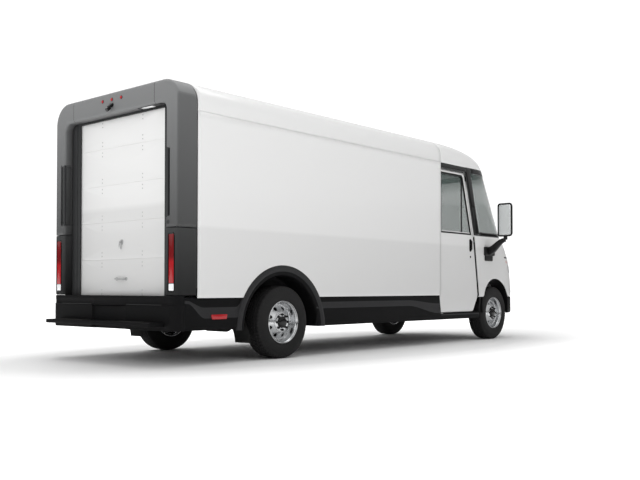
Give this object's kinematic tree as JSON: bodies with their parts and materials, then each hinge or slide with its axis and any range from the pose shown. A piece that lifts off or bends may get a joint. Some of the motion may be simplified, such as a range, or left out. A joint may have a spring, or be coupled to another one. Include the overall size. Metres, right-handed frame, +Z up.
{
  "type": "mail delivery truck",
  "caption": "Walk-in electric delivery truck with sliding cab doors, roll-up rear door in a grey portal, steering front wheels and a rear step.",
  "frame": {"origin": "on the ground below the middle of the truck's bounding box", "axes": "+Y towards the rear, +X towards the truck's left side, +Z up"},
  "size_m": [2.985, 7.3, 2.85],
  "materials": {
    "frame_black": "satin black chassis paint",
    "battery_case": "matt sealed battery casing",
    "floor_metal": "ribbed mill-finish aluminium",
    "body_white": "gloss white paint over composite skin",
    "door_white": "satin white coated door panel",
    "portal_grey": "satin dark grey moulding",
    "zinc_steel": "zinc-plated steel",
    "cladding_black": "grained black moulding",
    "trim_black": "fine-grained black moulding",
    "red_lens": "clear red lens over reflector",
    "lamp_lens": "clear lens",
    "flap_rubber": "matt black rubber",
    "dash_plastic": "grained dark grey plastic",
    "screen_glass": "tinted laminated glass",
    "seat_fabric": "dark woven seat cloth",
    "rim_bright": "polished and clear-coated",
    "tyre_rubber": "black tyre rubber"
  },
  "bodies": {
    "truck_body": {"chassis_frame": "frame_black", "battery_pack": "battery_case", "floor_pan": "floor_metal", "body_side_left": "body_white", "body_side_right": "body_white", "roof_shell": "body_white", "cab_roof": "body_white", "bulkhead": "floor_metal", "rear_portal": "portal_grey", "pillar_covers": "portal_grey", "door_tracks": "zinc_steel", "rear_bumper": "cladding_black", "step_board": "cladding_black", "tail_lamps": "red_lens", "header_lamps": "red_lens", "rear_camera": "trim_black", "grab_handles": "portal_grey", "side_skirts": "cladding_black", "arch_flares": "cladding_black", "mud_flaps": "flap_rubber", "side_reflectors": "red_lens", "dashboard": "dash_plastic", "front_shell": "body_white", "front_bumper": "cladding_black", "windscreen": "screen_glass", "cab_frame": "cladding_black", "headlamps": "lamp_lens", "seat_base": "frame_black", "seat_cushion": "seat_fabric", "seat_back": "seat_fabric", "mirror_arms": "trim_black", "front_beam": "frame_black", "rear_axle": "frame_black"},
    "left_knuckle": {"left_knuckle": "frame_black"},
    "right_knuckle": {"right_knuckle": "frame_black"},
    "front_left_wheel": {"front_left_rim": "rim_bright", "front_left_tyre": "tyre_rubber"},
    "front_right_wheel": {"front_right_rim": "rim_bright", "front_right_tyre": "tyre_rubber"},
    "rear_left_wheel": {"rear_left_rim": "rim_bright", "rear_left_tyre": "tyre_rubber"},
    "rear_right_wheel": {"rear_right_rim": "rim_bright", "rear_right_tyre": "tyre_rubber"},
    "steering_wheel": {"steering_wheel": "trim_black"},
    "left_cab_door": {"cab_door_left": "body_white", "door_glass_left": "screen_glass"},
    "right_cab_door": {"cab_door_right": "body_white", "door_glass_right": "screen_glass"},
    "roller_door": {"rear_door_panel_1": "door_white", "rear_door_panel_2": "door_white", "rear_door_panel_3": "door_white", "rear_door_panel_4": "door_white"},
    "roller_door_top": {"rear_door_panel_5": "door_white"},
    "door_latch": {"door_latch": "zinc_steel"},
    "left_mirror": {"mirror_left": "trim_black"},
    "right_mirror": {"mirror_right": "trim_black"},
    "brake_pedal": {"brake_pedal": "frame_black"},
    "accelerator_pedal": {"accelerator_pedal": "frame_black"},
    "left_wiper": {"wiper_left": "trim_black"},
    "right_wiper": {"wiper_right": "trim_black"}
  },
  "joints": [
    {"name": "left_steer", "type": "hinge", "parent": "truck_body", "child": "left_knuckle", "pos_m": [0.79, -2.77, 0.4], "axis": [0, 0, 1], "range_deg": [-32, 32]},
    {"name": "right_steer", "type": "hinge", "parent": "truck_body", "child": "right_knuckle", "pos_m": [-0.79, -2.77, 0.4], "axis": [0, 0, 1], "range_deg": [-32, 32]},
    {"name": "front_left_spin", "type": "hinge", "parent": "left_knuckle", "child": "front_left_wheel", "pos_m": [0.95, -2.77, 0.4], "axis": [1, 0, 0], "continuous": true},
    {"name": "rear_left_spin", "type": "hinge", "parent": "truck_body", "child": "rear_left_wheel", "pos_m": [0.96, 1.94, 0.4], "axis": [1, 0, 0], "continuous": true},
    {"name": "front_right_spin", "type": "hinge", "parent": "right_knuckle", "child": "front_right_wheel", "pos_m": [-0.95, -2.77, 0.4], "axis": [1, 0, 0], "continuous": true},
    {"name": "rear_right_spin", "type": "hinge", "parent": "truck_body", "child": "rear_right_wheel", "pos_m": [-0.96, 1.94, 0.4], "axis": [1, 0, 0], "continuous": true},
    {"name": "steering_turn", "type": "hinge", "parent": "truck_body", "child": "steering_wheel", "pos_m": [0.45, -2.29, 1.33], "axis": [0, 0.8192, 0.5736], "range_deg": [-448, 448]},
    {"name": "left_door_slide", "type": "slide", "parent": "truck_body", "child": "left_cab_door", "axis": [0, 1, 0], "range_m": [0, 0.7]},
    {"name": "right_door_slide", "type": "slide", "parent": "truck_body", "child": "right_cab_door", "axis": [0, 1, 0], "range_m": [0, 0.7]},
    {"name": "rear_door_lift", "type": "slide", "parent": "truck_body", "child": "roller_door", "axis": [0, 0, 1], "range_m": [0, 0.319]},
    {"name": "top_panel_fold", "type": "hinge", "parent": "roller_door", "child": "roller_door_top", "pos_m": [0, 3.267, 2.293], "axis": [1, 0, 0], "range_deg": [0, 90]},
    {"name": "latch_turn", "type": "hinge", "parent": "roller_door", "child": "door_latch", "pos_m": [0, 3.307, 1.264], "axis": [0, 1, 0], "range_deg": [0, 90]},
    {"name": "left_mirror_fold", "type": "hinge", "parent": "truck_body", "child": "left_mirror", "pos_m": [1.375, -2.555, 1.5], "axis": [0, 0, 1], "range_deg": [0, 60]},
    {"name": "right_mirror_fold", "type": "hinge", "parent": "truck_body", "child": "right_mirror", "pos_m": [-1.375, -2.555, 1.5], "axis": [0, 0, 1], "range_deg": [-60, 0]},
    {"name": "brake_press", "type": "hinge", "parent": "truck_body", "child": "brake_pedal", "pos_m": [0.42, -2.59, 1.04], "axis": [-1, 0, 0], "range_deg": [0, 12]},
    {"name": "accelerator_press", "type": "hinge", "parent": "truck_body", "child": "accelerator_pedal", "pos_m": [0.28, -2.59, 1.04], "axis": [-1, 0, 0], "range_deg": [0, 12]},
    {"name": "left_wiper_sweep", "type": "hinge", "parent": "truck_body", "child": "left_wiper", "pos_m": [0.6, -3.304, 1.539], "axis": [0, 0.8779, -0.4789], "range_deg": [0, 80]},
    {"name": "right_wiper_sweep", "type": "hinge", "parent": "truck_body", "child": "right_wiper", "pos_m": [-0.11, -3.304, 1.539], "axis": [0, 0.8779, -0.4789], "range_deg": [0, 80]}
  ],
  "couplings": [
    {"joint": "right_steer", "follows": "left_steer", "ratio": 1},
    {"joint": "steering_turn", "follows": "left_steer", "ratio": 14},
    {"joint": "top_panel_fold", "follows": "rear_door_lift", "rad_per_m": 4.9241},
    {"joint": "right_wiper_sweep", "follows": "left_wiper_sweep", "ratio": 1}
  ]
}
